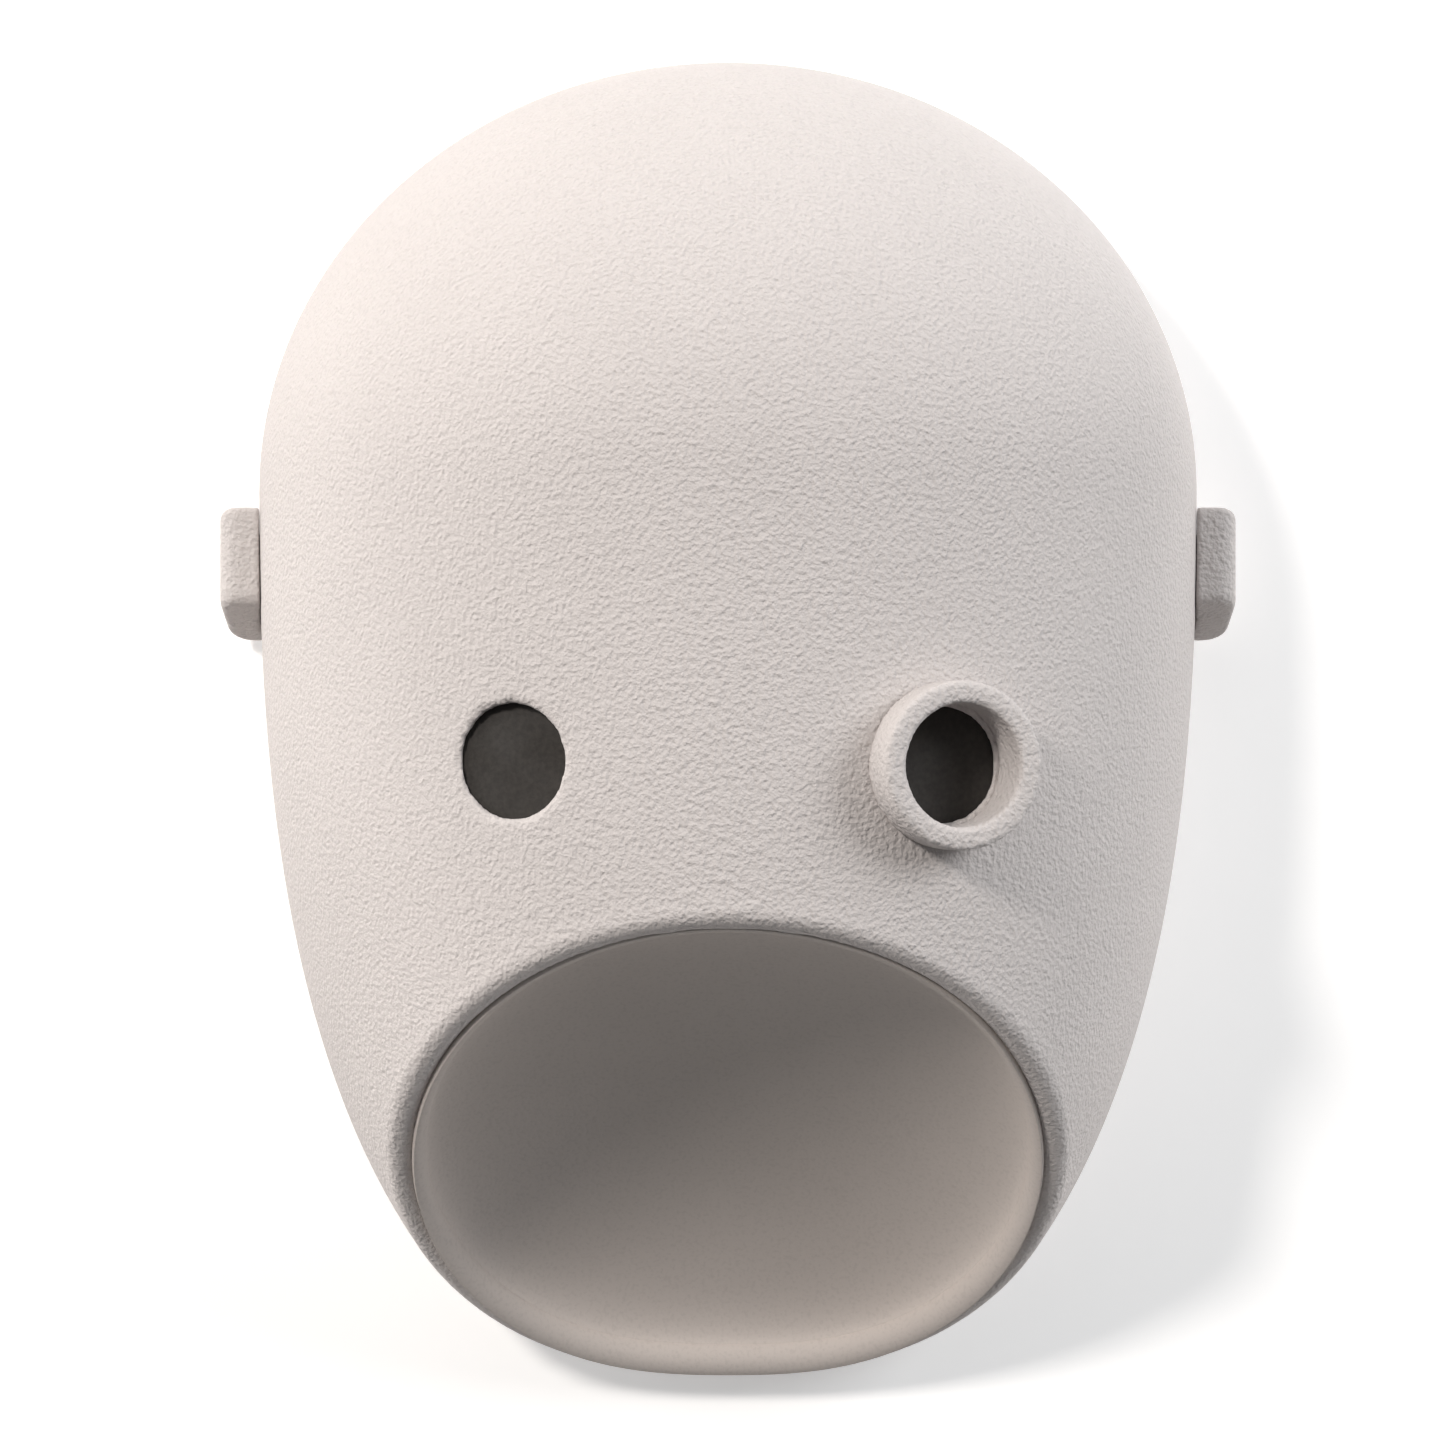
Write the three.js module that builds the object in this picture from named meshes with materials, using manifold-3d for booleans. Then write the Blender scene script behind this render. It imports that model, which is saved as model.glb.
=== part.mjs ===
// A wall mask in bone-coloured cast stoneware: a domed face with a wide round mouth, one plain
// eye, one eye with a raised ring, and a small ear block on each side. A back plate closes the
// shell and carries a hanger with a swinging D-ring.
//
// Millimetres. The origin is where the wall hook's pin bears in the D-ring, on the wall plane.
// +Z is up, the wall is the plane y = 0, and the mask looks along -Y.
import * as THREE from 'three';
import { mergeVertices } from 'three/addons/utils/BufferGeometryUtils.js';
import Module from 'manifold-3d';

const wasm = await Module();
wasm.setup();

// ---- Driving dimensions ----

// The face: a body whose level sections are superellipses, widest at the brow.
const standOff = 2.8;            // gap between the wall and the mask's back edge
const browHalfWidth = 109;
const crownHeight = 99.5;        // brow up to the top of the head
const chinDrop = 205.2;          // brow down to the bottom of the lower lip
const faceDepth = 110;           // back edge to the front of the face
const sectionPower = 2.02;       // 2 is an ellipse, more is squarer
const chinFullness = 2.39;       // how long the sides stay wide below the brow
const chinTaper = 0.383;         // and how quickly they then close towards the chin
const shellWall = 4.2;
const hookAboveBrow = 33.5;

// The mouth: a slanted cut from the front of the face down to the back edge, with a round lip.
const upperLipDrop = 91.6;       // brow down to the middle of the upper lip
const lipRadius = 3.3;
const bowlRise = 14.5;            // how far the bowl's deepest point lies above the mouth's middle
const bowlSetback = 11;           // and how far behind it
const bowlWall = 2.2;
const bowlSkirt = 0.05;          // how far the cutter of its hollow stands out of it, over its rise

// The eyes.
const eyeOffset = 44.7;
const plainEyeDrop = 61.3;       // brow down to the plain eye
const ringEyeDrop = 62.1;        // brow down to the ringed eye
const eyeYaw = THREE.MathUtils.degToRad(20);
const eyeHoleRadius = 11.85;
const discDepth = 3.4;           // face down to the disc's front
const discLap = 1.55;            // how far the disc reaches past the eye hole all round
const discThickness = 1.6;
const discEdge = 0.3;
const discClearance = 0.2;
const retainerWidth = 3.4;
const retainerThickness = 3;
const retainerEdge = 0.6;
const sleeveWall = 2.7;
const ringLedge = 0.75;          // face showing between the eye hole and the ring's bore
const ringWall = 4.75;
const ringStandOut = 10;         // face up to the ring's front
const ringFoot = 3.6;            // face down to the ring's foot, before it is cut to the face
const ringEdge = 2.1;            // rounding of the ring's front edges

// The ear blocks.
const earStandOut = 7.6;         // brow out to the ear's outer side
const earRoot = 12.6;            // and in to where its plan starts, before it is cut to the face
const earTopDrop = 3.4;          // brow down to the ear's front top edge
const earHeight = 22.3;
const earFrontDepth = 22.2;      // back edge of the mask to the ear's front
const earTilt = THREE.MathUtils.degToRad(22);
const earFrontCorner = 4.5;
const earBackCorner = 6;
const earEdge = 1.6;
const tenonDepth = 10;
const tenonHeight = 13;
const tenonInside = 2;           // how far the tenon comes through the shell's wall
const tenonOutside = 4;          // and how far it runs into the ear

// The back plate and its hanger pocket.
const plateThickness = 3;
const pocketDepth = 5;
const pocketRoom = 6;            // beside the D-ring
const pocketAboveHook = 12;
const pocketWall = 2.5;
const bossWall = 2.18;           // round an insert's hole
const bossLength = 8;
const bumperRadius = 5;
const bumperEdge = 0.7;
const bumperX = 62;
const upperBumperRise = 40;      // brow up to the upper bumpers
const lowerBumperDrop = 138;     // brow down to the lower bumpers

// The hanger.
const wireRadius = 1;
const strapHalfWidth = 5;
const strapThickness = 0.9;
const strapTail = 6;             // lower screw down to the strap's round end
const barOverhang = 2;           // how far the D-ring's bar comes out of the strap at each end
const bowOverhang = 1;           // and how much wider than the bar its bow swells
const curlClearance = 0.2;
const screwDrops = [7.5, 19];    // D-ring pivot down to each screw
const screwRadius = 1.45;
const screwLength = 8;
const screwTip = 0.6;            // length of the tip's taper
const screwTipRadius = 1.015;
const screwHeadLap = 1.35;       // how far the head reaches past the shank all round
const screwHeadHeight = 1.7;
const screwHeadSide = 0.765;     // height of the head's straight side
const screwHeadCrown = 0.17;     // and of its nearly flat crown
const screwHeadRound = 0.7;      // width of the rounding between them
const screwSlotWidth = 0.8;
const screwSlotDepth = 0.8;
const insertWall = 0.73;
const insertWaist = 0.35;        // depth of the waist between its collars
const insertLength = 6;
const holeClearance = 0.12;      // radial, round a screw or an insert

// Fits and mesh fineness.
const gap = 0.3;                 // between two pieces bedded in adhesive
const roundSides = 24;
const lipSides = 56;
const skinSides = 60;            // round the face's outer skin
const skinRows = 30;             // and from its chin to its crown
const liningSides = 40;          // and for the inner face of the wall and what fits to it
const liningRows = 20;
const rimAngle = 88;             // the skin's last row of facets before each pole, in degrees
const reach = 400;               // longer than the mask, for the cutting blocks
const through = 40;              // longer than any hole or slot, for their cutters

// ---- Places worked out from them ----

const browZ = -hookAboveBrow;
const discRadius = eyeHoleRadius + discLap;
const ringBore = eyeHoleRadius + ringLedge;
const ringRadius = ringBore + ringWall;
const screwHole = screwRadius + holeClearance;
const screwHeadRadius = screwRadius + screwHeadLap;
const insertRadius = screwHole + insertWall;
const insertHole = insertRadius + holeClearance;
const strapLength = screwDrops[1] + strapTail;
const ringBarHalf = strapHalfWidth + barOverhang;
const ringArcRadius = ringBarHalf + bowOverhang;
const pocketHalfWidth = ringArcRadius + wireRadius + pocketRoom;
const pivotRise = Math.sqrt(ringArcRadius ** 2 - ringBarHalf ** 2);
const pivotZ = -(pivotRise + ringArcRadius - wireRadius);
const floorDepth = standOff + pocketDepth;
const strapFace = floorDepth - strapThickness;
const pivotDepth = strapFace - wireRadius - curlClearance;
const pocketTopZ = pocketAboveHook;
const pocketBottomZ = pivotZ - strapLength - pocketAboveHook;

const upperLip = new THREE.Vector3(0, -(standOff + faceDepth - lipRadius), browZ - upperLipDrop);
const lowerLip = new THREE.Vector3(0, -(standOff + lipRadius), browZ - chinDrop + lipRadius);
const mouthTilt = Math.atan2(lowerLip.y - upperLip.y, upperLip.z - lowerLip.z);
const mouthMiddle = upperLip.clone().add(lowerLip).multiplyScalar(0.5);
const mouthFrame = new THREE.Matrix4()
  .makeRotationX(mouthTilt)
  .setPosition(mouthMiddle);

// ---- Solids ----

// A closed geometry as a solid that can be cut and joined, placed by a matrix.
function solid(geometry, matrix = new THREE.Matrix4()) {
  const bare = geometry.clone();
  bare.deleteAttribute('normal');
  bare.deleteAttribute('uv');
  bare.applyMatrix4(matrix);
  const merged = mergeVertices(bare, 1e-4);
  const vertProperties = new Float32Array(merged.attributes.position.array);
  const triVerts = new Uint32Array(merged.index.array);
  return new wasm.Manifold(new wasm.Mesh({ numProp: 3, vertProperties, triVerts }));
}

function block(width, depth, height, x, y, z) {
  return solid(new THREE.BoxGeometry(width, depth, height), new THREE.Matrix4().setPosition(x, y, z));
}

// A round bar whose axis is a frame's local Y, between two heights on that axis.
function bar(radius, low, high, frame) {
  const geometry = new THREE.CylinderGeometry(radius, radius, high - low, roundSides);
  geometry.translate(0, (low + high) / 2, 0);
  return solid(geometry, frame);
}

// A turned piece whose outline closes on itself or starts and ends on the axis.
function turned(outline, frame, sides = roundSides) {
  return solid(new THREE.LatheGeometry(outline, sides), frame);
}

// Points of an arc in an outline, from one angle to another, both in degrees.
function arc(x, y, radius, from, to, steps) {
  const points = [];
  for (let i = 0; i <= steps; i++) {
    const angle = THREE.MathUtils.degToRad(from + (to - from) * i / steps);
    points.push(new THREE.Vector2(x + radius * Math.cos(angle), y + radius * Math.sin(angle)));
  }
  return points;
}

// Every vertex of a geometry moved by a function of its own place.
function reshape(geometry, move) {
  const position = geometry.attributes.position;
  const point = new THREE.Vector3();
  for (let i = 0; i < position.count; i++) {
    point.fromBufferAttribute(position, i);
    move(point);
    position.setXYZ(i, point.x, point.y, point.z);
  }
  return geometry;
}

// Half-width and depth of the face's level section at a height, grown by a margin all round.
function section(z, grow) {
  if (z >= browZ) {
    const rise = Math.min((z - browZ) / (crownHeight + grow), 1);
    const scale = Math.sqrt(1 - rise * rise);
    return { halfWidth: (browHalfWidth + grow) * scale, depth: (faceDepth + grow) * scale };
  }
  const drop = Math.min((browZ - z) / (chinDrop + grow), 1);
  const scale = (1 - drop ** chinFullness) ** chinTaper;
  return { halfWidth: (browHalfWidth + grow) * scale, depth: faceDepth + grow };
}

// True inside the face's body, grown by a margin.
function insideFace(point, grow) {
  const { halfWidth, depth } = section(point.z, grow);
  if (halfWidth <= 0 || depth <= 0) return false;
  const across = Math.abs(point.x) / halfWidth;
  const forward = Math.abs(point.y + standOff) / depth;
  return across ** sectionPower + forward ** sectionPower < 1;
}

// The face's whole body, front and mirrored back, grown by a margin. A turned unit outline gives
// the rows, and each vertex then goes to its place on the superellipse of its own height. All
// bodies inside the wall share one set of facets, and all outside it another, so they nest.
function faceBody(grow) {
  const sides = grow < 0 ? liningSides : skinSides;
  const rows = grow < 0 ? liningRows : skinRows;
  const outline = [new THREE.Vector2(0, -90)];
  for (let i = 0; i <= rows; i++) {
    outline.push(new THREE.Vector2(1, rimAngle * (2 * i / rows - 1)));
  }
  outline.push(new THREE.Vector2(0, 90));
  const geometry = reshape(new THREE.LatheGeometry(outline, sides), (point) => {
    const lift = Math.sin(THREE.MathUtils.degToRad(point.y));
    const pole = Math.hypot(point.x, point.z) < 0.5;
    const z = browZ + lift * (lift > 0 ? crownHeight + grow : chinDrop + grow);
    const { halfWidth, depth } = section(z, grow);
    const power = 2 / sectionPower;
    const across = pole ? 0 : Math.sign(point.x) * Math.abs(point.x) ** power;
    const forward = pole ? 0 : Math.sign(point.z) * Math.abs(point.z) ** power;
    point.set(across * halfWidth, -standOff - forward * depth, z);
  });
  return solid(geometry);
}

// How far the face's body, grown by a margin, reaches from the mouth's middle in the mouth plane.
function mouthReach(angle, grow) {
  const direction = new THREE.Vector3(Math.cos(angle), 0, Math.sin(angle)).transformDirection(mouthFrame);
  let near = 0;
  let far = reach;
  for (let i = 0; i < 40; i++) {
    const middle = (near + far) / 2;
    const inside = insideFace(mouthMiddle.clone().addScaledVector(direction, middle), grow);
    if (inside) near = middle;
    else far = middle;
  }
  return near;
}

// The round lip along the mouth's cut, as a ring of circular section: it is turned round, then
// each point goes out or in to the mouth's edge.
function lipBead(radius) {
  const centre = browHalfWidth;
  const outline = arc(centre, 0, radius, 0, 360, 12);
  const geometry = reshape(new THREE.LatheGeometry(outline, lipSides), (point) => {
    const angle = Math.atan2(point.z, point.x);
    const distance = Math.hypot(point.x, point.z) - centre + mouthReach(angle, -lipRadius);
    point.set(distance * Math.cos(angle), point.y, distance * Math.sin(angle));
  });
  return solid(geometry, mouthFrame);
}

// A dome over the mouth's inner edge, leaning up inside the head, grown by a margin. A little of
// it stands out of the mouth plane when a skirt is asked for.
function bowlDome(grow, skirt) {
  const steps = 9;
  const outline = [new THREE.Vector2(0, -skirt)];
  if (skirt > 0) outline.push(new THREE.Vector2(1, -skirt));
  outline.push(...arc(0, 0, 1, 0, 90, steps));
  outline[outline.length - 1].x = 0;
  const inward = new THREE.Vector3(0, 1, 0).transformDirection(mouthFrame);
  const lean = new THREE.Vector3(0, bowlSetback, bowlRise).addScaledVector(inward, grow);
  const geometry = reshape(new THREE.LatheGeometry(outline, lipSides), (point) => {
    const angle = Math.atan2(point.z, point.x);
    const share = Math.hypot(point.x, point.z);
    const height = point.y;
    const edge = mouthReach(angle, -lipRadius) - lipRadius + grow;
    point.set(share * edge * Math.cos(angle), 0, share * edge * Math.sin(angle));
    point.applyMatrix4(mouthFrame).addScaledVector(lean, height);
  });
  return solid(geometry);
}

// Everything in front of the mouth, as far ahead of its plane as the lip meets the face smoothly.
function mouthCut() {
  const geometry = new THREE.BoxGeometry(reach, reach, reach);
  geometry.translate(0, -reach / 2 - lipRadius * Math.sin(mouthTilt), 0);
  return solid(geometry, mouthFrame);
}

// Everything behind the mask's back edge.
function behindBackEdge() {
  return block(reach, reach, 2 * reach, 0, reach / 2 - standOff, browZ);
}

// A frame on the face at an eye, its local Y out along the eye's axis.
function eyeFrame(side, drop) {
  const z = browZ - drop;
  const { halfWidth, depth } = section(z, 0);
  const forward = depth * (1 - (eyeOffset / halfWidth) ** sectionPower) ** (1 / sectionPower);
  const axis = new THREE.Vector3(side * Math.sin(eyeYaw), -Math.cos(eyeYaw), 0);
  const turn = new THREE.Quaternion().setFromUnitVectors(new THREE.Vector3(0, 1, 0), axis);
  const place = new THREE.Vector3(side * eyeOffset, -standOff - forward, z);
  return new THREE.Matrix4().compose(place, turn, new THREE.Vector3(1, 1, 1));
}

// A frame with its local Y pointing from the hanger's pocket floor towards the wall.
function backFrame(x, depth, z) {
  return new THREE.Matrix4().setPosition(x, -depth, z);
}

const plainEye = eyeFrame(-1, plainEyeDrop);
const ringEye = eyeFrame(1, ringEyeDrop);
const seatRadius = discRadius + discClearance;
const discBack = -discDepth - discThickness;
const retainerBack = discBack - gap - retainerThickness;

// ---- The pieces ----

// The cast shell: the face, its lip, the two eye sockets and the two ear sockets.
function faceShell() {
  let shell = faceBody(0)
    .subtract(faceBody(-shellWall))
    .subtract(behindBackEdge())
    .subtract(mouthCut())
    .add(lipBead(lipRadius));
  for (const frame of [plainEye, ringEye]) {
    const sleeve = bar(seatRadius + sleeveWall, retainerBack - gap, -discDepth + gap, frame)
      .intersect(faceBody(0));
    shell = shell
      .add(sleeve)
      .subtract(bar(seatRadius, retainerBack - through, -discDepth + gap, frame))
      .subtract(bar(eyeHoleRadius, -2 * discDepth, through, frame));
  }
  for (const side of [-1, 1]) {
    shell = shell.subtract(earTenon(side, gap));
  }
  return shell;
}

// The liner behind the lip that makes the mouth a smooth closed bowl.
function mouthBowl() {
  return bowlDome(bowlWall, 0)
    .subtract(bowlDome(0, bowlSkirt))
    .subtract(lipBead(lipRadius + gap))
    .intersect(faceBody(-shellWall - gap));
}

// The tenon that holds an ear block in the shell's side, grown by a margin.
function earTenon(side, grow) {
  const middleDepth = standOff + earFrontDepth / 2;
  const middleZ = browZ - earTopDrop - earHeight / 2 - Math.tan(earTilt) * earFrontDepth / 2;
  const inner = browHalfWidth - shellWall - tenonInside;
  const outer = browHalfWidth + tenonOutside;
  const width = outer - inner;
  const x = side * (inner + outer) / 2;
  return block(width, tenonDepth + 2 * grow, tenonHeight + 2 * grow, x, -middleDepth, middleZ);
}

// An ear block: a plan with two rounded outer corners, drawn upwards, then leaned so that it
// rises towards the front. Its inner side is cut to the face.
function ear(side) {
  const inner = browHalfWidth - earRoot;
  const outer = browHalfWidth + earStandOut - earEdge;
  const front = earFrontDepth - earEdge;
  const frontCorner = earFrontCorner - earEdge;
  const backCorner = earBackCorner - earEdge;
  const plan = [
    new THREE.Vector2(inner, earEdge),
    ...arc(outer - backCorner, earEdge + backCorner, backCorner, -90, 0, 5),
    ...arc(outer - frontCorner, front - frontCorner, frontCorner, 0, 90, 5),
    new THREE.Vector2(inner, front),
  ].map((point) => new THREE.Vector2(side * point.x, -standOff - point.y));
  const geometry = new THREE.ExtrudeGeometry(new THREE.Shape(plan), {
    depth: earHeight - 2 * earEdge,
    bevelThickness: earEdge,
    bevelSize: earEdge,
    bevelSegments: 3,
  });
  const lowerFrontZ = browZ - earTopDrop - earHeight + earEdge;
  const frontY = -standOff - earFrontDepth;
  reshape(geometry, (point) => {
    point.z += lowerFrontZ - (point.y - frontY) * Math.tan(earTilt);
  });
  return solid(geometry).subtract(faceBody(gap)).add(earTenon(side, 0));
}

// The raised ring, its foot cut to the face.
function eyeRing() {
  const outline = [
    new THREE.Vector2(ringBore, -ringFoot),
    new THREE.Vector2(ringRadius, -ringFoot),
    ...arc(ringRadius - ringEdge, ringStandOut - ringEdge, ringEdge, 0, 90, 4),
    ...arc(ringBore + ringEdge, ringStandOut - ringEdge, ringEdge, 90, 180, 4),
    new THREE.Vector2(ringBore, -ringFoot),
  ];
  return turned(outline, ringEye, 40).subtract(faceBody(gap));
}

function eyeDisc(frame) {
  const outline = [
    new THREE.Vector2(0, discBack),
    new THREE.Vector2(discRadius - discEdge, discBack),
    new THREE.Vector2(discRadius, discBack + discEdge),
    new THREE.Vector2(discRadius, -discDepth - discEdge),
    new THREE.Vector2(discRadius - discEdge, -discDepth),
    new THREE.Vector2(0, -discDepth),
  ];
  return turned(outline, frame);
}

// The ring that holds a disc against its seat.
function eyeRetainer(frame) {
  const bore = discRadius - retainerWidth;
  const front = discBack - gap;
  const outline = [
    new THREE.Vector2(bore, retainerBack),
    new THREE.Vector2(discRadius - retainerEdge, retainerBack),
    new THREE.Vector2(discRadius, retainerBack + retainerEdge),
    new THREE.Vector2(discRadius, front),
    new THREE.Vector2(bore, front),
    new THREE.Vector2(bore, retainerBack),
  ];
  return turned(outline, frame);
}

// The plate that closes the back, with a pocket for the hanger and a boss behind each screw.
function backPlate() {
  const middleDepth = standOff + plateThickness / 2;
  const slab = block(reach, plateThickness, 2 * reach, 0, -middleDepth, browZ)
    .intersect(faceBody(-shellWall - gap))
    .subtract(lipBead(lipRadius + gap))
    .subtract(bowlDome(bowlWall + gap, 0));
  const height = pocketTopZ - pocketBottomZ;
  const middleZ = (pocketTopZ + pocketBottomZ) / 2;
  const depth = pocketDepth + pocketWall;
  let plate = slab.add(block(
    2 * (pocketHalfWidth + pocketWall), depth, height + 2 * pocketWall,
    0, -(standOff + depth / 2), middleZ,
  ));
  for (const drop of screwDrops) {
    plate = plate.add(bar(insertHole + bossWall, -bossLength, 0, backFrame(0, floorDepth, pivotZ - drop)));
  }
  plate = plate.subtract(block(2 * pocketHalfWidth, 2 * pocketDepth, height, 0, -standOff, middleZ));
  for (const drop of screwDrops) {
    plate = plate.subtract(bar(insertHole, -through, gap, backFrame(0, floorDepth, pivotZ - drop)));
  }
  return plate;
}

// The hanger's strap, its upper end curled round the D-ring's straight bar.
function hangerStrap() {
  const outline = new THREE.Shape();
  const inner = wireRadius + curlClearance;
  outline.absarc(0, 0, inner + strapThickness, 0, 2 * Math.PI);
  const eye = new THREE.Path();
  eye.absarc(0, 0, inner, 0, 2 * Math.PI);
  outline.holes.push(eye);
  const curl = new THREE.ExtrudeGeometry(outline, {
    depth: 2 * strapHalfWidth,
    bevelEnabled: false,
    curveSegments: 12,
  });
  curl.translate(0, 0, -strapHalfWidth);
  curl.rotateY(Math.PI / 2);
  curl.translate(0, -pivotDepth, pivotZ);

  const leaf = new THREE.Shape();
  leaf.moveTo(-strapHalfWidth, 0);
  leaf.lineTo(-strapHalfWidth, strapHalfWidth - strapLength);
  leaf.absarc(0, strapHalfWidth - strapLength, strapHalfWidth, Math.PI, 2 * Math.PI);
  leaf.lineTo(strapHalfWidth, 0);
  const flat = new THREE.ExtrudeGeometry(leaf, {
    depth: strapThickness,
    bevelEnabled: false,
    curveSegments: 12,
  });
  flat.rotateX(Math.PI / 2);

  let strap = solid(curl).add(solid(flat, backFrame(0, strapFace, pivotZ)));
  for (const drop of screwDrops) {
    strap = strap.subtract(bar(screwHole, -through, through, backFrame(0, strapFace, pivotZ - drop)));
  }
  return strap;
}

// The D-ring: a straight bar, an arc over it, and a bead at each corner.
function hangerRing() {
  const arcStart = Math.atan2(-pivotRise, ringBarHalf);
  const path = new THREE.CatmullRomCurve3(
    arc(0, 0, ringArcRadius, THREE.MathUtils.radToDeg(arcStart),
      180 - THREE.MathUtils.radToDeg(arcStart), 16)
      .map((point) => new THREE.Vector3(point.x, -pivotDepth, pivotZ + pivotRise + point.y)),
  );
  const wire = new THREE.Shape();
  wire.absarc(0, 0, wireRadius, 0, 2 * Math.PI);
  const bow = new THREE.ExtrudeGeometry(wire, { steps: 18, extrudePath: path, curveSegments: 6 });
  const straight = new THREE.CylinderGeometry(wireRadius, wireRadius, 2 * ringBarHalf, 12);
  straight.rotateZ(Math.PI / 2);
  let ring = solid(bow).add(solid(straight, backFrame(0, pivotDepth, pivotZ)));
  for (const side of [-1, 1]) {
    const corner = new THREE.SphereGeometry(wireRadius, 12, 8);
    ring = ring.add(solid(corner, backFrame(side * ringBarHalf, pivotDepth, pivotZ)));
  }
  return ring;
}

// A pan-head screw through the strap into its insert, with a slot in the head.
function hangerScrew(drop) {
  const outline = [
    new THREE.Vector2(0, -screwLength),
    new THREE.Vector2(screwTipRadius, -screwLength),
    new THREE.Vector2(screwRadius, -screwLength + screwTip),
    new THREE.Vector2(screwRadius, 0),
    new THREE.Vector2(screwHeadRadius, 0),
    new THREE.Vector2(screwHeadRadius, screwHeadSide),
    new THREE.Vector2(screwHeadRadius - screwHeadRound, screwHeadHeight - screwHeadCrown),
    new THREE.Vector2(0, screwHeadHeight),
  ];
  const frame = backFrame(0, strapFace, pivotZ - drop);
  const slot = block(through, 2 * screwSlotDepth, screwSlotWidth,
    0, -strapFace + screwHeadHeight, pivotZ - drop);
  return turned(outline, frame).subtract(slot);
}

// A brass insert with a waist between two collars, flush with the pocket floor.
function screwInsert(drop) {
  const collar = insertLength / 3;
  const waist = insertRadius - insertWaist;
  const outline = [
    new THREE.Vector2(screwHole, -insertLength),
    new THREE.Vector2(insertRadius, -insertLength),
    new THREE.Vector2(insertRadius, -insertLength + collar),
    new THREE.Vector2(waist, -insertLength + collar + insertWaist),
    new THREE.Vector2(waist, -collar - insertWaist),
    new THREE.Vector2(insertRadius, -collar),
    new THREE.Vector2(insertRadius, 0),
    new THREE.Vector2(screwHole, 0),
    new THREE.Vector2(screwHole, -insertLength),
  ];
  return turned(outline, backFrame(0, floorDepth, pivotZ - drop));
}

// A rubber bumper stuck to the back plate; its flat end bears on the wall.
function wallBumper(x, z) {
  const outline = [
    new THREE.Vector2(0, -standOff),
    new THREE.Vector2(bumperRadius, -standOff),
    new THREE.Vector2(bumperRadius, -bumperEdge),
    new THREE.Vector2(bumperRadius - bumperEdge, 0),
    new THREE.Vector2(0, 0),
  ];
  return turned(outline, backFrame(x, 0, z));
}

// ---- Finishes ----

function finish(color, roughness, metalness) {
  return new THREE.MeshStandardMaterial({ color, roughness, metalness });
}

const stoneware = [0xd9d0cb, 0.85, 0];
const plateBoard = [0x3a3733, 0.9, 0];
const blackDisc = [0x33302c, 0.7, 0];
const darkPlastic = [0x26241f, 0.6, 0];
const steel = [0xb8babc, 0.35, 1];
const brass = [0xc39a4c, 0.4, 1];
const rubber = [0x2b2b2b, 0.9, 0];

// ---- The assembly ----

const mask = new THREE.Group();

function place(name, piece, [color, roughness, metalness]) {
  const { vertProperties, triVerts } = piece.getMesh();
  const geometry = new THREE.BufferGeometry();
  geometry.setAttribute('position', new THREE.BufferAttribute(new Float32Array(vertProperties), 3));
  geometry.setIndex(new THREE.BufferAttribute(new Uint32Array(triVerts), 1));
  geometry.computeVertexNormals();
  const mesh = new THREE.Mesh(geometry, finish(color, roughness, metalness));
  mesh.name = name;
  mask.add(mesh);
}

place('face_shell', faceShell(), stoneware);
place('mouth_bowl', mouthBowl(), stoneware);
place('eye_ring', eyeRing(), stoneware);
place('ear_left', ear(-1), stoneware);
place('ear_right', ear(1), stoneware);
place('eye_disc_left', eyeDisc(plainEye), blackDisc);
place('eye_disc_right', eyeDisc(ringEye), blackDisc);
place('eye_retainer_left', eyeRetainer(plainEye), darkPlastic);
place('eye_retainer_right', eyeRetainer(ringEye), darkPlastic);
place('back_plate', backPlate(), plateBoard);
place('hanger_strap', hangerStrap(), steel);
place('hanger_ring', hangerRing(), steel);
for (const [i, drop] of screwDrops.entries()) {
  place(`hanger_screw_${i + 1}`, hangerScrew(drop), steel);
  place(`screw_insert_${i + 1}`, screwInsert(drop), brass);
}
const bumpers = [
  ['upper_left', -bumperX, browZ + upperBumperRise],
  ['upper_right', bumperX, browZ + upperBumperRise],
  ['lower_left', -bumperX, browZ - lowerBumperDrop],
  ['lower_right', bumperX, browZ - lowerBumperDrop],
];
for (const [corner, x, z] of bumpers) {
  place(`wall_bumper_${corner}`, wallBumper(x, z), rubber);
}

export default mask;
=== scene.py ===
"""A bone-coloured stoneware mask that hangs on a white wall: a domed face with a wide round
mouth, one plain eye, one ringed eye, two ear blocks, and a hanger in its back plate."""
import math

import bpy
from mathutils import Matrix, Vector


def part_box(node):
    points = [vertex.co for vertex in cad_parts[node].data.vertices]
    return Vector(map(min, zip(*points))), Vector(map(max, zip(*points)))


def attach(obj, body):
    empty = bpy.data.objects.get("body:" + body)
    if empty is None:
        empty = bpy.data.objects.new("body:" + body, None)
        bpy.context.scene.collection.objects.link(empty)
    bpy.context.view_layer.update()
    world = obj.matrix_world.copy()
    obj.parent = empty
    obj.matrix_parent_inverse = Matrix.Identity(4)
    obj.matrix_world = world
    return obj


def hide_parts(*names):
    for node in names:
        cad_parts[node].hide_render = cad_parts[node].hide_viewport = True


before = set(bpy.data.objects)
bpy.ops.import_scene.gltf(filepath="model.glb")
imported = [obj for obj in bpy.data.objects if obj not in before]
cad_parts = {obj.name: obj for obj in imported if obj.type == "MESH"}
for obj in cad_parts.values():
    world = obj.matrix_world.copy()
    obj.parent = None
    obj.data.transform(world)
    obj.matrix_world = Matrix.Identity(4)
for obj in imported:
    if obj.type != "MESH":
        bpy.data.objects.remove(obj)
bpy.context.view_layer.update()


# ---- Camera ----
# A long lens square to the wall, level with the middle of the face, as far off as keeps the
# whole mask in the frame with a little wall around it.
shell_low, shell_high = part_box("face_shell")
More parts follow.
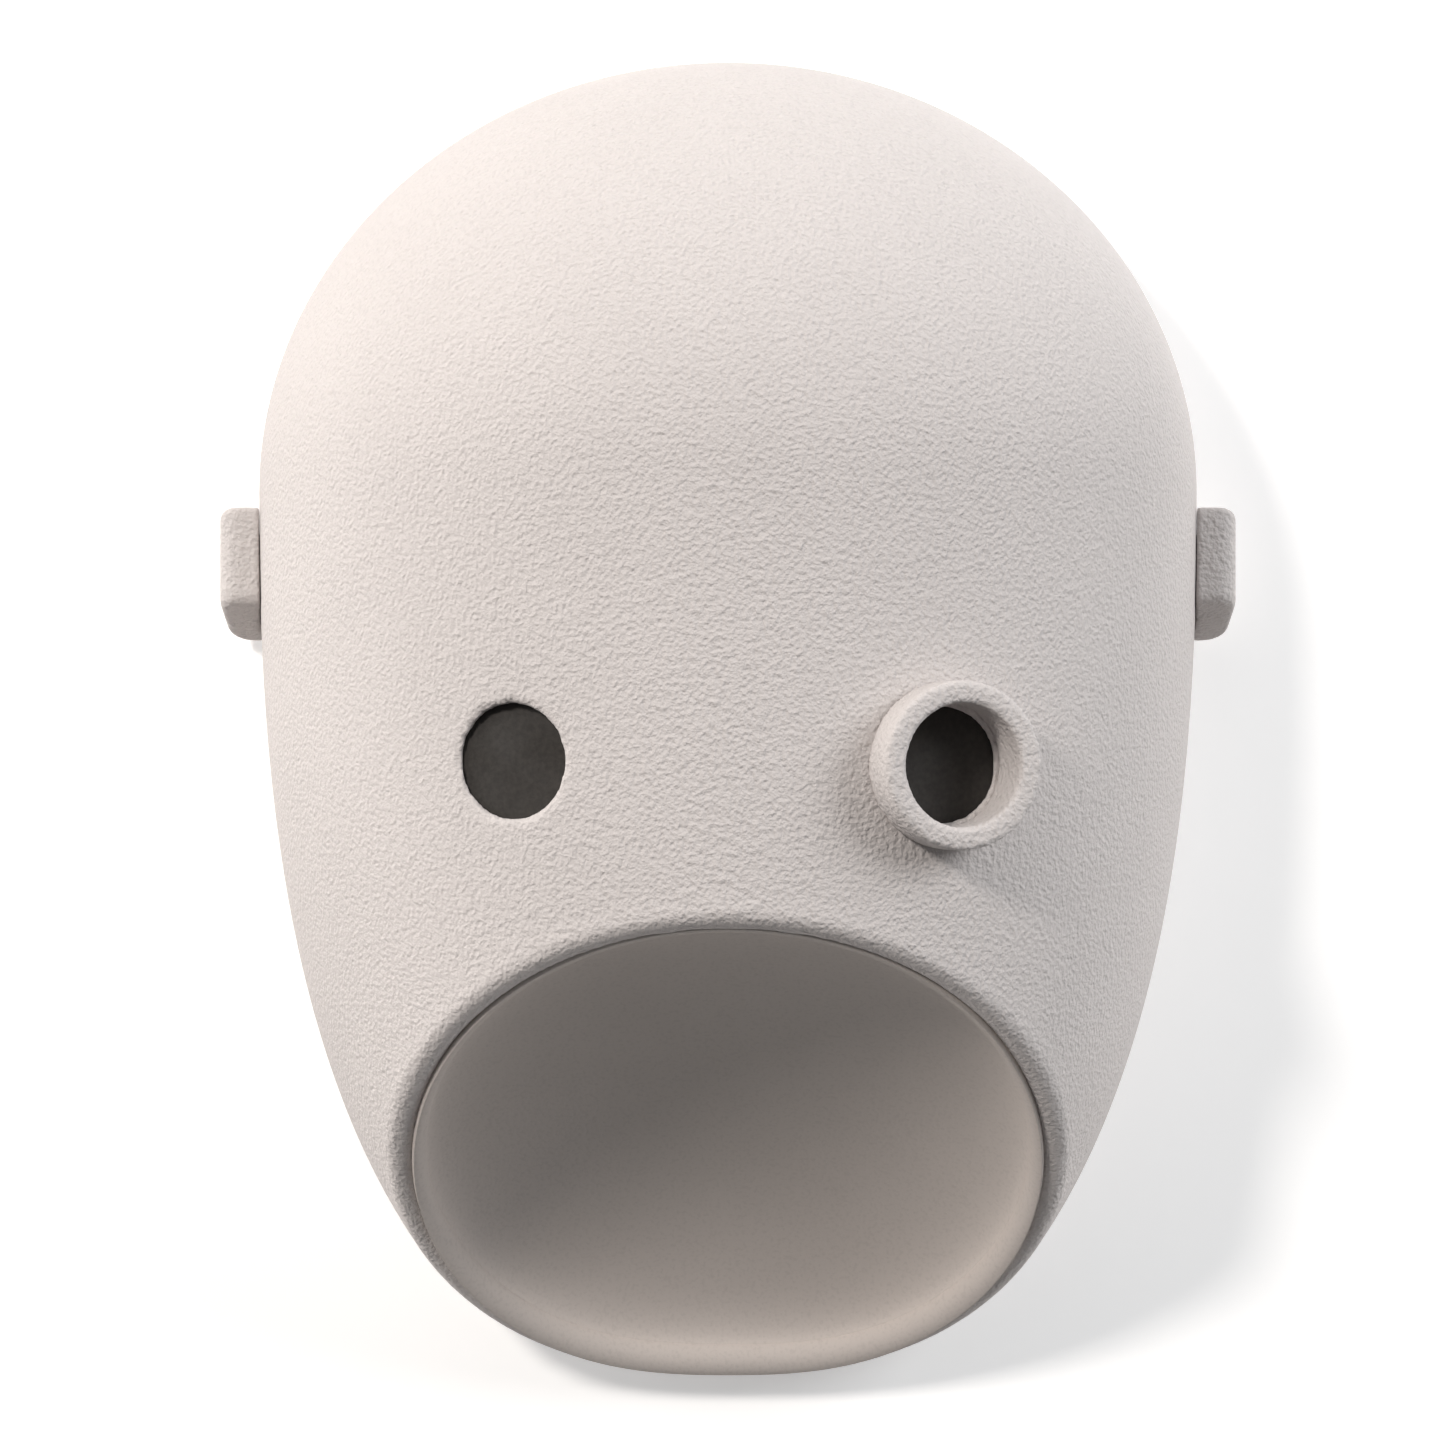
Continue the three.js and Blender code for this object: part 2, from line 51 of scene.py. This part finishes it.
lens_mm = 85
camera_off_wall = 0.81
camera_below_top = 0.154
camera_height = shell_high.z - camera_below_top
facing_wall = (math.pi / 2, 0, 0)

bpy.ops.object.camera_add(location=(0, -camera_off_wall, camera_height), rotation=facing_wall)
camera = bpy.context.object
camera.data.lens = lens_mm
camera.data.sensor_width = 36
camera.data.clip_start = 0.01
bpy.context.scene.camera = camera


# ---- Wall ----
# Plain white plaster behind the mask. It shows only from the front, so the mask's back can be
# seen through it, and it throws no shadow on the back.
def new_material(name):
    material = bpy.data.materials.new(name)
    material.use_nodes = True
    nodes = material.node_tree.nodes
    return material, nodes, material.node_tree.links, nodes["Principled BSDF"]


wall_size = 6
behind_bumpers = 0.0003
bpy.ops.mesh.primitive_plane_add(
    size=wall_size, location=(0, behind_bumpers, camera_height), rotation=facing_wall,
)
wall = bpy.context.object
wall.name = "wall"
plaster, nodes, links, shader = new_material("white_plaster")
shader.inputs["Base Color"].default_value = (0.93, 0.92, 0.91, 1)
shader.inputs["Roughness"].default_value = 0.95
shader.inputs["Emission Color"].default_value = (1, 0.995, 0.99, 1)
shader.inputs["Emission Strength"].default_value = 0.3
facing = nodes.new("ShaderNodeNewGeometry")
clear = nodes.new("ShaderNodeBsdfTransparent")
mix = nodes.new("ShaderNodeMixShader")
links.new(facing.outputs["Backfacing"], mix.inputs["Fac"])
links.new(shader.outputs["BSDF"], mix.inputs[1])
links.new(clear.outputs["BSDF"], mix.inputs[2])
links.new(mix.outputs["Shader"], nodes["Material Output"].inputs["Surface"])
wall.data.materials.append(plaster)
wall.visible_shadow = False


# ---- Lights ----
# A small warm lamp up on the left models the face and throws its shadow to the right. A wide one
# low on the left, one overhead and a cooler one on the right soften it, and one behind the wall
# serves views of the back. The room's own glow is stronger from above.
mask_middle = 0.05


def lamp(name, azimuth, elevation, distance, size, power, color):
    """A round lamp aimed at the mask, its azimuth to the right of straight ahead, in degrees."""
    target = Vector((0, -mask_middle, camera_height))
    turn = math.radians(azimuth)
    lift = math.radians(elevation)
    away = Vector((math.sin(turn) * math.cos(lift), -math.cos(turn) * math.cos(lift), math.sin(lift)))
    bpy.ops.object.light_add(type="AREA", location=target + away * distance)
    light = bpy.context.object
    light.name = name
    light.rotation_euler = away.to_track_quat("Z", "Y").to_euler()
    light.data.shape = "DISK"
    light.data.size = size
    light.data.energy = power
    light.data.color = color
    return light


lamp("key", azimuth=-34, elevation=26, distance=1.5, size=0.26, power=15, color=(1.0, 0.955, 0.91))
lamp("side", azimuth=-80, elevation=16, distance=1.5, size=0.9, power=9, color=(1.0, 0.985, 0.97))
lamp("top", azimuth=-15, elevation=58, distance=1.6, size=1.0, power=1.5, color=(1.0, 0.985, 0.97))
lamp("fill", azimuth=62, elevation=24, distance=1.6, size=0.9, power=15, color=(0.95, 0.975, 1.0))
lamp("behind", azimuth=160, elevation=30, distance=1.6, size=1.2, power=12, color=(1, 1, 1))
world = bpy.data.worlds.new("studio")
bpy.context.scene.world = world
world.use_nodes = True
sky = world.node_tree.nodes["Background"]
around = world.node_tree.nodes.new("ShaderNodeTexCoord")
height = world.node_tree.nodes.new("ShaderNodeSeparateXYZ")
glow = world.node_tree.nodes.new("ShaderNodeMapRange")
glow.inputs["From Min"].default_value = -0.7
glow.inputs["From Max"].default_value = 0.9
glow.inputs["To Min"].default_value = 0.06
glow.inputs["To Max"].default_value = 0.42
world.node_tree.links.new(around.outputs["Generated"], height.inputs["Vector"])
world.node_tree.links.new(height.outputs["Z"], glow.inputs["Value"])
world.node_tree.links.new(glow.outputs["Result"], sky.inputs["Strength"])
sky.inputs["Color"].default_value = (0.95, 0.97, 1.0, 1)
bpy.context.scene.view_settings.view_transform = "Standard"


# ---- Face shell ----
# Cast stoneware, about 4 mm thick, unglazed, with a fine pebbled skin. Its level sections are
# near-ellipses, widest at the brow; a slanted cut with a full round lip makes the mouth.
brow_half = shell_high.x
back_y = shell_high.y
face_depth = back_y - shell_low.y
brow_below_top = 0.0995
brow_z = shell_high.z - brow_below_top
crown_height = shell_high.z - brow_z
chin_drop = brow_z - shell_low.z
section_power = 2.02
chin_fullness = 2.39
chin_taper = 0.383
shell_wall = 0.0042
lip_radius = 0.0033
upper_lip_drop = 0.0916
upper_lip = Vector((0, back_y - face_depth + lip_radius, brow_z - upper_lip_drop))
lower_lip = Vector((0, back_y - lip_radius, shell_low.z + lip_radius))
mouth_middle = (upper_lip + lower_lip) / 2
mouth_rise = (upper_lip - lower_lip).normalized()
mouth_inward = Vector((0, mouth_rise.z, -mouth_rise.y))


def section(z, grow):
    """Half-width and depth of the face at a height, grown by a margin all round."""
    if z >= brow_z:
        rise = min((z - brow_z) / (crown_height + grow), 1)
        scale = math.sqrt(1 - rise * rise)
        return (brow_half + grow) * scale, (face_depth + grow) * scale
    drop = min((brow_z - z) / (chin_drop + grow), 1)
    scale = (1 - drop ** chin_fullness) ** chin_taper
    return (brow_half + grow) * scale, face_depth + grow


def inside_face(point, grow):
    """Whether a point lies within the face, grown by a margin."""
    half, depth = section(point.z, grow)
    if half <= 0 or depth <= 0:
        return False
    across = abs(point.x) / half
    forward = abs(point.y - back_y) / depth
    return across ** section_power + forward ** section_power < 1


def mouth_reach(angle, grow):
    """How far the face, grown by a margin, reaches from the mouth's middle in its plane."""
    direction = Vector((math.cos(angle), 0, 0)) + mouth_rise * math.sin(angle)
    near, far = 0.0, 0.4
    for _ in range(40):
        middle = (near + far) / 2
        if inside_face(mouth_middle + direction * middle, grow):
            near = middle
        else:
            far = middle
    return near


def start_clean():
    """Nothing selected, in object mode, before a new primitive is added."""
    if bpy.context.object and bpy.context.object.mode != "OBJECT":
        bpy.ops.object.mode_set(mode="OBJECT")
    bpy.ops.object.select_all(action="DESELECT")


def apply_modifiers(piece):
    """Every modifier on the piece applied, in order."""
    bpy.context.view_layer.objects.active = piece
    for modifier in list(piece.modifiers):
        bpy.ops.object.modifier_apply(modifier=modifier.name)


def carve(piece, other, operation):
    """The other solid cut from the piece, joined to it, or kept where they meet."""
    modifier = piece.modifiers.new("carve", "BOOLEAN")
    modifier.operation = operation
    modifier.object = other
    modifier.solver = "MANIFOLD"
    apply_modifiers(piece)
    bpy.data.objects.remove(other)


def cut_plane(piece, point, normal):
    """Everything on the normal's side of a plane cut away, and the cut closed."""
    start_clean()
    piece.select_set(True)
    bpy.context.view_layer.objects.active = piece
    bpy.ops.object.mode_set(mode="EDIT")
    bpy.ops.mesh.select_all(action="SELECT")
    bpy.ops.mesh.bisect(plane_co=point, plane_no=normal, use_fill=True, clear_outer=True)
    bpy.ops.object.mode_set(mode="OBJECT")


def face_body(grow, segments=160, rings=140):
    """The whole face, front and mirrored back: a ball whose points go to their superellipse."""
    start_clean()
    bpy.ops.mesh.primitive_uv_sphere_add(segments=segments, ring_count=rings, radius=1)
    body = bpy.context.object
    power = 2 / section_power
    for vertex in body.data.vertices:
        lift = max(-1, min(1, vertex.co.z))
        z = brow_z + lift * (crown_height + grow if lift > 0 else chin_drop + grow)
        half, depth = section(z, grow)
        level = math.hypot(vertex.co.x, vertex.co.y)
        across = vertex.co.x / level if level > 1e-6 else 0
        forward = vertex.co.y / level if level > 1e-6 else 0
        x = math.copysign(abs(across) ** power, across) * half
        y = math.copysign(abs(forward) ** power, forward) * depth
        vertex.co = (x, back_y + y, z)
    return body


def lip_bead(radius, segments=240):
    """The mouth's round lip: a torus whose ring goes to the mouth's cut edge."""
    start_clean()
    ring = 0.1
    bpy.ops.mesh.primitive_torus_add(
        major_segments=segments, minor_segments=20, major_radius=ring, minor_radius=radius,
    )
    bead = bpy.context.object
    reaches = {}
    for vertex in bead.data.vertices:
        angle = math.atan2(vertex.co.y, vertex.co.x)
        key = round(angle, 4)
        if key not in reaches:
            reaches[key] = mouth_reach(angle, -lip_radius)
        distance = math.hypot(vertex.co.x, vertex.co.y) - ring + reaches[key]
        across = Vector((math.cos(angle), 0, 0)) + mouth_rise * math.sin(angle)
        vertex.co = mouth_middle + across * distance - mouth_inward * vertex.co.z
    return bead


eye_offset = 0.0447
eye_yaw = math.radians(20)
plain_eye_drop = 0.0613
ring_eye_drop = 0.0621
plain_eye_z = brow_z - plain_eye_drop
ring_eye_z = brow_z - ring_eye_drop
eye_hole_radius = 0.01185


def eye_place(side, z):
    """A matrix at an eye on the face, its Z out along the eye's axis."""
    half, depth = section(z, 0)
    forward = depth * (1 - (eye_offset / half) ** section_power) ** (1 / section_power)
    axis = Vector((side * math.sin(eye_yaw), -math.cos(eye_yaw), 0))
    turn = Vector((0, 0, 1)).rotation_difference(axis)
    return Matrix.Translation((side * eye_offset, back_y - forward, z)) @ turn.to_matrix().to_4x4()


def rod(radius, low, high, place, sides=96):
    """A round bar along a matrix's Z, between two heights on it."""
    start_clean()
    bpy.ops.mesh.primitive_cylinder_add(vertices=sides, radius=radius, depth=high - low)
    bar = bpy.context.object
    bar.data.transform(place @ Matrix.Translation((0, 0, (low + high) / 2)))
    return bar


def join_pieces(pieces):
    """The pieces as one object, the first."""
    start_clean()
    for piece in pieces:
        piece.select_set(True)
    bpy.context.view_layer.objects.active = pieces[0]
    bpy.ops.object.join()
    return pieces[0]


def shade_smooth(piece):
    """Every face of the piece shaded smooth."""
    piece.data.polygons.foreach_set("use_smooth", [True] * len(piece.data.polygons))


def soften(piece, voxel, passes):
    """One skin over everything in the piece, its edges rounded as a cast's are."""
    remesh = piece.modifiers.new("skin", "REMESH")
    remesh.mode = "VOXEL"
    remesh.voxel_size = voxel
    smooth = piece.modifiers.new("round", "SMOOTH")
    smooth.factor = 0.5
    smooth.iterations = passes
    apply_modifiers(piece)
    shade_smooth(piece)
    piece.data.update()


plain_eye = eye_place(-1, plain_eye_z)
ring_eye = eye_place(1, ring_eye_z)
sleeve_radius = 0.0163
seat_radius = 0.0136
sleeve_length = 0.0089
seat_depth = 0.0031
hole_depth = 0.006
past_sleeve = 0.03
past_face = 0.02

shell = face_body(0)
shell.name = "cast_shell"
cut_plane(shell, (0, back_y, brow_z), (0, 1, 0))
cut_plane(shell, mouth_middle - mouth_inward * lip_radius * mouth_inward.z, -mouth_inward)
carve(shell, face_body(-shell_wall, 120, 100), "DIFFERENCE")
for place in (plain_eye, ring_eye):
    carve(shell, rod(sleeve_radius, -sleeve_length, -seat_depth, place), "UNION")
    carve(shell, rod(seat_radius, -past_sleeve, -seat_depth, place), "DIFFERENCE")
    carve(shell, rod(eye_hole_radius, -hole_depth, past_face, place), "DIFFERENCE")
softened_away = 0.0003
faces_kept = 0.38
shell = join_pieces([shell, lip_bead(lip_radius + softened_away)])
soften(shell, 0.001, 8)
thinned = shell.modifiers.new("thin", "DECIMATE")
thinned.ratio = faces_kept
apply_modifiers(shell)
shade_smooth(shell)


def stoneware(name, grain_depth, tone):
    """Unglazed stoneware: bone colour, faint clouding, a pebbled rough skin with painted shade in its
    hollows.
    """
    material, nodes, links, shader = new_material(name)
    place = nodes.new("ShaderNodeTexCoord")

    cloud = nodes.new("ShaderNodeTexNoise")
    cloud.inputs["Scale"].default_value = 14
    cloud.inputs["Detail"].default_value = 3
    links.new(place.outputs["Object"], cloud.inputs["Vector"])
    pebble = nodes.new("ShaderNodeTexNoise")
    pebble.inputs["Scale"].default_value = 1150
    pebble.inputs["Detail"].default_value = 1.5
    pebble.inputs["Roughness"].default_value = 0.5
    links.new(place.outputs["Object"], pebble.inputs["Vector"])
    pits = nodes.new("ShaderNodeTexVoronoi")
    pits.feature = "SMOOTH_F1"
    pits.inputs["Scale"].default_value = 800
    pits.inputs["Smoothness"].default_value = 0.6
    links.new(place.outputs["Object"], pits.inputs["Vector"])

    tint = nodes.new("ShaderNodeValToRGB")
    tint.color_ramp.elements[0].position = 0.3
    tint.color_ramp.elements[0].color = (*[c * 0.95 for c in tone], 1)
    tint.color_ramp.elements[1].position = 0.7
    tint.color_ramp.elements[1].color = (*tone, 1)
    links.new(cloud.outputs["Fac"], tint.inputs["Fac"])
    # Painted shade: where the pebble grain is low, the colour is darkened a little.
    hollow_shade = nodes.new("ShaderNodeMapRange")
    hollow_shade.inputs["From Min"].default_value = 0.3
    hollow_shade.inputs["From Max"].default_value = 0.5
    hollow_shade.inputs["To Min"].default_value = 0.93
    hollow_shade.inputs["To Max"].default_value = 1.0
    links.new(pebble.outputs["Fac"], hollow_shade.inputs["Value"])
    shade = nodes.new("ShaderNodeMix")
    shade.data_type = "RGBA"
    shade.blend_type = "MULTIPLY"
    shade.inputs["Factor"].default_value = 1
    links.new(tint.outputs["Color"], shade.inputs["A"])
    links.new(hollow_shade.outputs["Result"], shade.inputs["B"])
    links.new(shade.outputs["Result"], shader.inputs["Base Color"])

    height = nodes.new("ShaderNodeMath")
    height.operation = "MULTIPLY_ADD"
    links.new(pits.outputs["Distance"], height.inputs[0])
    height.inputs[1].default_value = 0.5
    links.new(pebble.outputs["Fac"], height.inputs[2])
    bump = nodes.new("ShaderNodeBump")
    bump.inputs["Strength"].default_value = 1
    bump.inputs["Distance"].default_value = grain_depth
    links.new(height.outputs["Value"], bump.inputs["Height"])
    links.new(bump.outputs["Normal"], shader.inputs["Normal"])
    shader.inputs["Roughness"].default_value = 0.88
    shader.inputs["Specular IOR Level"].default_value = 0.25
    return material


bone = (0.62, 0.575, 0.555)
pebble_depth = 0.00045
pebbled = stoneware("pebbled_stoneware", pebble_depth, bone)


def dress(piece, material):
    """The piece finished in one material."""
    piece.data.materials.clear()
    piece.data.materials.append(material)


dress(shell, pebbled)
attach(shell, "mask")
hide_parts("face_shell")


# ---- Mouth bowl ----
# The smooth hollow behind the lip, of the same clay but sponged flat. Its tone is darker and warmer
# than the shell's, which is painted shade. It leans up inside the head, and its rim rolls a little
# way over the lip, furthest at the chin.
bowl_rise = 0.0145
bowl_setback = 0.011
bowl_wall = 0.0022
flare_rows = 0.5
flare_at_sides = 42
flare_change = 38
rim_proud = 0.00006
rim_tuck = 0.0004

start_clean()
bpy.ops.mesh.primitive_uv_sphere_add(segments=240, ring_count=150, radius=1)
bowl = bpy.context.object
bowl.name = "mouth_liner"
bpy.ops.object.mode_set(mode="EDIT")
bpy.ops.mesh.select_all(action="SELECT")
bpy.ops.mesh.bisect(plane_co=(0, 0, -flare_rows), plane_no=(0, 0, -1), clear_outer=True)
bpy.ops.object.mode_set(mode="OBJECT")
centres = {}
for vertex in bowl.data.vertices:
    angle = math.atan2(vertex.co.y, vertex.co.x)
    key = round(angle, 4)
    if key not in centres:
        centres[key] = mouth_reach(angle, -lip_radius)
    across = Vector((math.cos(angle), 0, 0)) + mouth_rise * math.sin(angle)
    height = vertex.co.z
    if height >= 0:
        share = math.hypot(vertex.co.x, vertex.co.y)
        lean = Vector((0, bowl_setback, bowl_rise)) * height
        vertex.co = mouth_middle + across * share * (centres[key] - lip_radius) + lean
    else:
        flare = math.radians(flare_at_sides - flare_change * math.sin(angle))
        roll = flare * height / -flare_rows
        radius = lip_radius + rim_proud - rim_tuck * (roll / flare) ** 3
        out = across * (centres[key] - radius * math.cos(roll))
        vertex.co = mouth_middle + out - mouth_inward * radius * math.sin(roll)
thickness = bowl.modifiers.new("wall", "SOLIDIFY")
thickness.thickness = bowl_wall
thickness.offset = 1
apply_modifiers(bowl)
shade_smooth(bowl)
# Painted shade: the bowl's clay is toned darker and warmer than the same clay on the shell.
bowl_tone_painted_shade = (0.61, 0.55, 0.51)
sponged_depth = 0.00006
sponged = stoneware("sponged_stoneware_painted_shade", sponged_depth, bowl_tone_painted_shade)
dress(bowl, sponged)
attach(bowl, "mask")
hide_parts("mouth_bowl")


# ---- Eye ring ----
# A turned stoneware ring with a soft round edge, bedded on the face round the right eye.
ring_radius = 0.01735
ring_bore = 0.0126
ring_stand = 0.010
ring_foot = 0.004
ring_bed = 0.0001
ring_sides = 128

ring = rod(ring_radius, -ring_foot, ring_stand, ring_eye, ring_sides)
ring.name = "raised_ring"
carve(ring, rod(ring_bore, -0.01, past_face, ring_eye, ring_sides), "DIFFERENCE")
carve(ring, face_body(ring_bed), "DIFFERENCE")
soften(ring, 0.0007, 12)
dress(ring, pebbled)
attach(ring, "mask")
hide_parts("eye_ring")


# ---- Ear blocks ----
# Two small cast stoneware blocks, leaned up towards the front and tenoned into the shell's sides.
for side in ("left", "right"):
    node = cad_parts["ear_" + side]
    block = bpy.data.objects.new("ear_block_" + side, node.data.copy())
    bpy.context.scene.collection.objects.link(block)
    start_clean()
    block.select_set(True)
    bpy.context.view_layer.objects.active = block
    bpy.ops.object.mode_set(mode="EDIT")
    bpy.ops.mesh.select_all(action="SELECT")
    bpy.ops.mesh.remove_doubles(threshold=1e-6)
    bpy.ops.object.mode_set(mode="OBJECT")
    soften(block, 0.0006, 4)
    dress(block, pebbled)
    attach(block, "mask")
    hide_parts("ear_" + side)


# ---- Eye discs and retainers ----
# Flat discs of matt near-black plastic seated behind the two eye holes, each pushed home by a
# moulded ring of the same plastic.
def fitting(name, color, spread, metal, roughness, grain, depth, draw=(1, 1, 1)):
    """A fitting's finish: two near tones, an uneven gloss and a grain that may be drawn out."""
    material, nodes, links, shader = new_material(name)
    place = nodes.new("ShaderNodeTexCoord")
    drawn = nodes.new("ShaderNodeMapping")
    drawn.inputs["Scale"].default_value = draw
    links.new(place.outputs["Object"], drawn.inputs["Vector"])
    texture = nodes.new("ShaderNodeTexNoise")
    texture.inputs["Scale"].default_value = grain
    texture.inputs["Detail"].default_value = 4
    links.new(drawn.outputs["Vector"], texture.inputs["Vector"])
    patches = nodes.new("ShaderNodeTexNoise")
    patches.inputs["Scale"].default_value = 60
    patches.inputs["Detail"].default_value = 3
    links.new(place.outputs["Object"], patches.inputs["Vector"])

    tint = nodes.new("ShaderNodeValToRGB")
    tint.color_ramp.elements[0].position = 0.35
    tint.color_ramp.elements[0].color = (*[c * (1 - spread) for c in color], 1)
    tint.color_ramp.elements[1].position = 0.65
    tint.color_ramp.elements[1].color = (*color, 1)
    links.new(texture.outputs["Fac"], tint.inputs["Fac"])
    links.new(tint.outputs["Color"], shader.inputs["Base Color"])
    gloss = nodes.new("ShaderNodeMapRange")
    gloss.inputs["From Min"].default_value = 0.3
    gloss.inputs["From Max"].default_value = 0.7
    gloss.inputs["To Min"].default_value = roughness * 0.85
    gloss.inputs["To Max"].default_value = min(1, roughness * 1.15)
    links.new(patches.outputs["Fac"], gloss.inputs["Value"])
    links.new(gloss.outputs["Result"], shader.inputs["Roughness"])
    bump = nodes.new("ShaderNodeBump")
    bump.inputs["Distance"].default_value = depth
    links.new(texture.outputs["Fac"], bump.inputs["Height"])
    links.new(bump.outputs["Normal"], shader.inputs["Normal"])
    shader.inputs["Metallic"].default_value = metal
    return material


matt_black = fitting("matt_black", (0.036, 0.031, 0.027), 0.3, 0, 0.85, 900, 0.00012)
moulded_black = fitting("moulded_black", (0.022, 0.021, 0.02), 0.15, 0, 0.6, 500, 0.00004)
for side in ("left", "right"):
    dress(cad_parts["eye_disc_" + side], matt_black)
    dress(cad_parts["eye_retainer_" + side], moulded_black)


# ---- Back plate ----
# A moulded plate with a fine spark grain. It closes the back of the shell and holds the hanger.
board = fitting("moulded_board", (0.05, 0.046, 0.042), 0.25, 0, 0.75, 700, 0.00012)
dress(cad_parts["back_plate"], board)


# ---- Hanger ----
# A zinc plated strap folded round the D-ring, drawn steel wire; two zinc plated screws hold it in
# brass inserts.
zinc = fitting("rolled_zinc_plate", (0.62, 0.63, 0.64), 0.18, 1, 0.38, 900, 0.00003, (1, 1, 0.12))
wire = fitting("drawn_zinc_wire", (0.66, 0.67, 0.68), 0.15, 1, 0.3, 700, 0.00002, (0.3, 1, 0.3))
screw = fitting("zinc_screw", (0.6, 0.6, 0.61), 0.15, 1, 0.34, 1200, 0.00002, (1, 0.2, 1))
brass = fitting("turned_brass", (0.72, 0.52, 0.22), 0.2, 1, 0.35, 900, 0.00003, (0.2, 1, 0.2))
dress(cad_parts["hanger_strap"], zinc)
dress(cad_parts["hanger_ring"], wire)
for number in ("1", "2"):
    dress(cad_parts["hanger_screw_" + number], screw)
    dress(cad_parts["screw_insert_" + number], brass)


# ---- Wall bumpers ----
# Four moulded rubber feet stuck to the back plate, two high and two low, that rest on the wall.
rubber = fitting("bumper_rubber", (0.03, 0.03, 0.03), 0.3, 0, 0.8, 650, 0.00008)
for level in ("upper", "lower"):
    for side in ("left", "right"):
        dress(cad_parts["wall_bumper_" + level + "_" + side], rubber)
